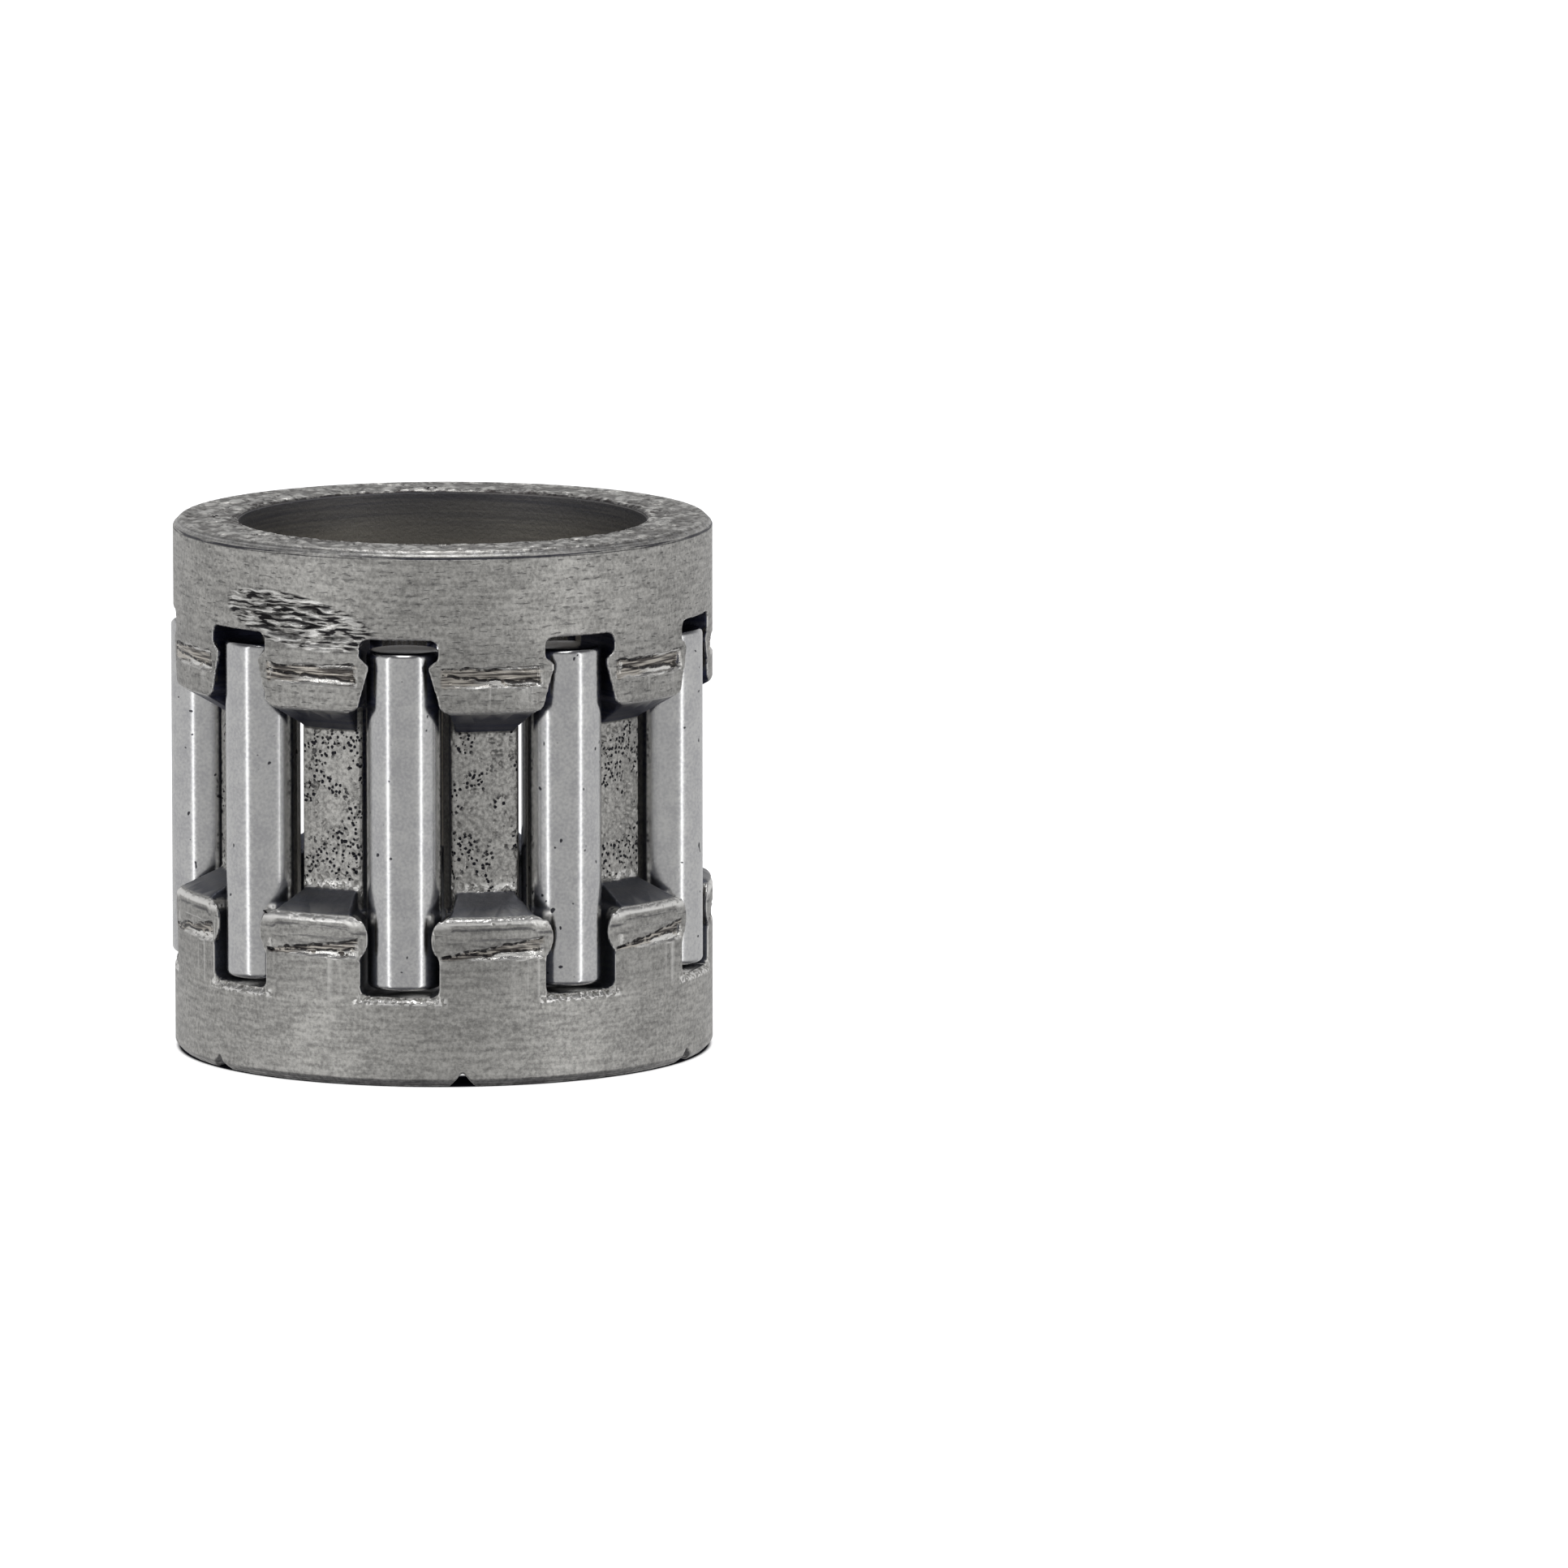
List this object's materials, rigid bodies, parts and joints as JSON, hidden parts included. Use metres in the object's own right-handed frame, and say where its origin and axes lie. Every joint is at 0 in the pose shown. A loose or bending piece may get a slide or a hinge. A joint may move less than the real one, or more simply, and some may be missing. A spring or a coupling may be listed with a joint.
{
  "type": "needle roller bearing",
  "caption": "Needle roller and cage assembly: a solid steel cage that holds loose needle rollers round a pin, with driving notches in one end face.",
  "frame": {"origin": "middle of the cage, on the bearing axis", "axes": "+Z along the bearing axis, away from the notched end face; +X through roller_1"},
  "size_m": [0.011, 0.0108, 0.0108],
  "materials": {
    "cage_steel": "satin, tumbled, with fine turning marks and pits",
    "roller_steel": "ground and polished bearing steel"
  },
  "bodies": {
    "cage": {"cage": "cage_steel"},
    "roller_1": {"roller_1": "roller_steel"},
    "roller_2": {"roller_2": "roller_steel"},
    "roller_3": {"roller_3": "roller_steel"},
    "roller_4": {"roller_4": "roller_steel"},
    "roller_5": {"roller_5": "roller_steel"},
    "roller_6": {"roller_6": "roller_steel"},
    "roller_7": {"roller_7": "roller_steel"},
    "roller_8": {"roller_8": "roller_steel"},
    "roller_9": {"roller_9": "roller_steel"}
  },
  "joints": [
    {"name": "roller_1_spin", "type": "hinge", "parent": "cage", "child": "roller_1", "pos_m": [0.00475, 0, -0.00007], "axis": [0, 0, 1], "continuous": true},
    {"name": "roller_2_spin", "type": "hinge", "parent": "cage", "child": "roller_2", "pos_m": [0.00364, 0.00305, -0.00007], "axis": [0, 0, 1], "continuous": true},
    {"name": "roller_3_spin", "type": "hinge", "parent": "cage", "child": "roller_3", "pos_m": [0.00082, 0.00468, -0.00007], "axis": [0, 0, 1], "continuous": true},
    {"name": "roller_4_spin", "type": "hinge", "parent": "cage", "child": "roller_4", "pos_m": [-0.00237, 0.00411, -0.00007], "axis": [0, 0, 1], "continuous": true},
    {"name": "roller_5_spin", "type": "hinge", "parent": "cage", "child": "roller_5", "pos_m": [-0.00446, 0.00162, -0.00007], "axis": [0, 0, 1], "continuous": true},
    {"name": "roller_6_spin", "type": "hinge", "parent": "cage", "child": "roller_6", "pos_m": [-0.00446, -0.00162, -0.00007], "axis": [0, 0, 1], "continuous": true},
    {"name": "roller_7_spin", "type": "hinge", "parent": "cage", "child": "roller_7", "pos_m": [-0.00237, -0.00411, -0.00007], "axis": [0, 0, 1], "continuous": true},
    {"name": "roller_8_spin", "type": "hinge", "parent": "cage", "child": "roller_8", "pos_m": [0.00082, -0.00468, -0.00007], "axis": [0, 0, 1], "continuous": true},
    {"name": "roller_9_spin", "type": "hinge", "parent": "cage", "child": "roller_9", "pos_m": [0.00364, -0.00305, -0.00007], "axis": [0, 0, 1], "continuous": true}
  ]
}
